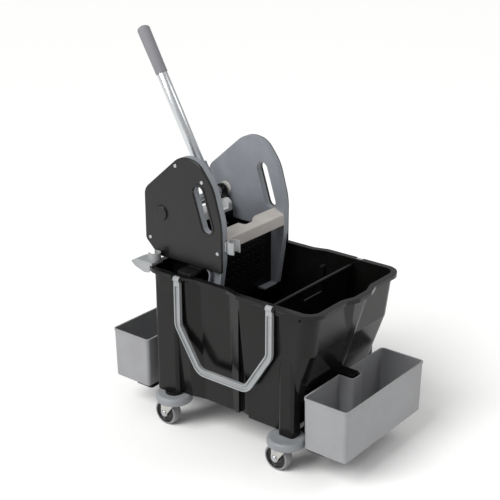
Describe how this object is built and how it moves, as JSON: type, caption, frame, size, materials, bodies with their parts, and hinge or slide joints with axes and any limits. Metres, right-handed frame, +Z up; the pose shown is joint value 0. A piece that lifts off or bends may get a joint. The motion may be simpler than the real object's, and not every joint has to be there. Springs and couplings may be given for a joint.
{
  "type": "mop bucket with wringer",
  "caption": "Divided mop bucket on swivel casters with a lever-operated press wringer, hanging side boxes and swinging bail handles.",
  "frame": {"origin": "on the floor, in the middle of the overall footprint (length from the rearmost point of the raised lever's grip to the front box)", "axes": "+X from the wringer towards the pouring lip and the front box, +Y to the far side, +Z up"},
  "size_m": [0.7298, 0.378, 0.8562],
  "materials": {
    "bucket_black": "glossy moulded polypropylene",
    "cover_black": "satin moulded plastic",
    "grey_plastic": "satin moulded plastic",
    "box_grey": "satin moulded polypropylene",
    "light_grey_plastic": "satin moulded plastic",
    "grip_grey": "soft moulded grip",
    "aluminium_tube": "satin anodised",
    "steel": "bright zinc plated",
    "spring_steel": "oiled spring wire",
    "bush_plastic": "smooth acetal",
    "bumper_grey": "soft grey plastic",
    "zinc_plate": "zinc plated pressed steel",
    "hub_black": "moulded nylon",
    "tyre_grey": "grey thermoplastic rubber"
  },
  "bodies": {
    "bucket": {"bucket_body": "bucket_black", "front_box_support": "bucket_black", "rear_box_support": "bucket_black", "near_bail_pins": "cover_black", "far_bail_pins": "cover_black", "rear_bracket": "light_grey_plastic", "rear_pole_clip": "light_grey_plastic", "front_near_bumper": "bumper_grey", "front_far_bumper": "bumper_grey", "rear_near_bumper": "bumper_grey", "rear_far_bumper": "bumper_grey"},
    "wringer": {"near_side_frame": "grey_plastic", "far_side_frame": "grey_plastic", "near_side_cover": "cover_black", "far_side_cover": "cover_black", "near_cover_screws": "steel", "far_cover_screws": "steel", "near_shaft_bush": "bush_plastic", "far_shaft_bush": "bush_plastic", "near_rim_hook": "cover_black", "far_rim_hook": "cover_black", "crossbar": "grey_plastic", "rear_tie_rod": "steel", "fixed_jaw": "cover_black", "stop_pins": "steel", "return_spring": "spring_steel", "front_pole_clip": "light_grey_plastic"},
    "lever": {"lever_shaft": "steel", "press_plate": "grey_plastic", "press_head": "light_grey_plastic", "lever_socket": "grey_plastic", "socket_bolt": "steel", "lever_tube": "aluminium_tube", "lever_grip": "grip_grey"},
    "near_bail": {"near_bail": "light_grey_plastic"},
    "far_bail": {"far_bail": "light_grey_plastic"},
    "front_box": {"front_box": "box_grey"},
    "rear_box": {"rear_box": "box_grey"},
    "divider": {"divider": "bucket_black"},
    "front_near_caster": {"front_near_king_pin": "zinc_plate", "front_near_fork": "zinc_plate", "front_near_axle": "zinc_plate"},
    "front_near_wheel": {"front_near_hub": "hub_black", "front_near_tyre": "tyre_grey"},
    "front_far_caster": {"front_far_king_pin": "zinc_plate", "front_far_fork": "zinc_plate", "front_far_axle": "zinc_plate"},
    "front_far_wheel": {"front_far_hub": "hub_black", "front_far_tyre": "tyre_grey"},
    "rear_near_caster": {"rear_near_king_pin": "zinc_plate", "rear_near_fork": "zinc_plate", "rear_near_axle": "zinc_plate"},
    "rear_near_wheel": {"rear_near_hub": "hub_black", "rear_near_tyre": "tyre_grey"},
    "rear_far_caster": {"rear_far_king_pin": "zinc_plate", "rear_far_fork": "zinc_plate", "rear_far_axle": "zinc_plate"},
    "rear_far_wheel": {"rear_far_hub": "hub_black", "rear_far_tyre": "tyre_grey"}
  },
  "joints": [
    {"name": "wringer_lift", "type": "slide", "parent": "bucket", "child": "wringer", "axis": [0, 0, 1], "range_m": [0, 0.13]},
    {"name": "press_lever", "type": "hinge", "parent": "wringer", "child": "lever", "pos_m": [-0.15241, 0, 0.494], "axis": [0, -1, 0], "range_deg": [0, 33], "stiffness_Nm_per_rad": 1.6, "springref_deg": -51.57},
    {"name": "near_bail_swing", "type": "hinge", "parent": "bucket", "child": "near_bail", "pos_m": [0.05509, -0.1648, 0.374], "axis": [-1, 0, 0], "range_deg": [0, 180]},
    {"name": "far_bail_swing", "type": "hinge", "parent": "bucket", "child": "far_bail", "pos_m": [0.05509, 0.1648, 0.374], "axis": [1, 0, 0], "range_deg": [0, 180]},
    {"name": "front_box_lift", "type": "slide", "parent": "bucket", "child": "front_box", "axis": [0.7071, 0, 0.7071], "range_m": [0, 0.13]},
    {"name": "rear_box_lift", "type": "slide", "parent": "bucket", "child": "rear_box", "axis": [-0.7071, 0, 0.7071], "range_m": [0, 0.13]},
    {"name": "divider_lift", "type": "slide", "parent": "bucket", "child": "divider", "axis": [0, 0, 1], "range_m": [0, 0.29]},
    {"name": "front_near_swivel", "type": "hinge", "parent": "bucket", "child": "front_near_caster", "pos_m": [0.2126, -0.147, 0.065], "axis": [0, 0, 1], "continuous": true},
    {"name": "front_near_roll", "type": "hinge", "parent": "front_near_caster", "child": "front_near_wheel", "pos_m": [0.19259, -0.147, 0.03], "axis": [0, 1, 0], "continuous": true},
    {"name": "front_far_swivel", "type": "hinge", "parent": "bucket", "child": "front_far_caster", "pos_m": [0.2126, 0.147, 0.065], "axis": [0, 0, 1], "continuous": true},
    {"name": "front_far_roll", "type": "hinge", "parent": "front_far_caster", "child": "front_far_wheel", "pos_m": [0.19259, 0.147, 0.03], "axis": [0, 1, 0], "continuous": true},
    {"name": "rear_near_swivel", "type": "hinge", "parent": "bucket", "child": "rear_near_caster", "pos_m": [-0.1024, -0.147, 0.065], "axis": [0, 0, 1], "continuous": true},
    {"name": "rear_near_roll", "type": "hinge", "parent": "rear_near_caster", "child": "rear_near_wheel", "pos_m": [-0.1224, -0.147, 0.03], "axis": [0, 1, 0], "continuous": true},
    {"name": "rear_far_swivel", "type": "hinge", "parent": "bucket", "child": "rear_far_caster", "pos_m": [-0.1024, 0.147, 0.065], "axis": [0, 0, 1], "continuous": true},
    {"name": "rear_far_roll", "type": "hinge", "parent": "rear_far_caster", "child": "rear_far_wheel", "pos_m": [-0.1224, 0.147, 0.03], "axis": [0, 1, 0], "continuous": true}
  ]
}
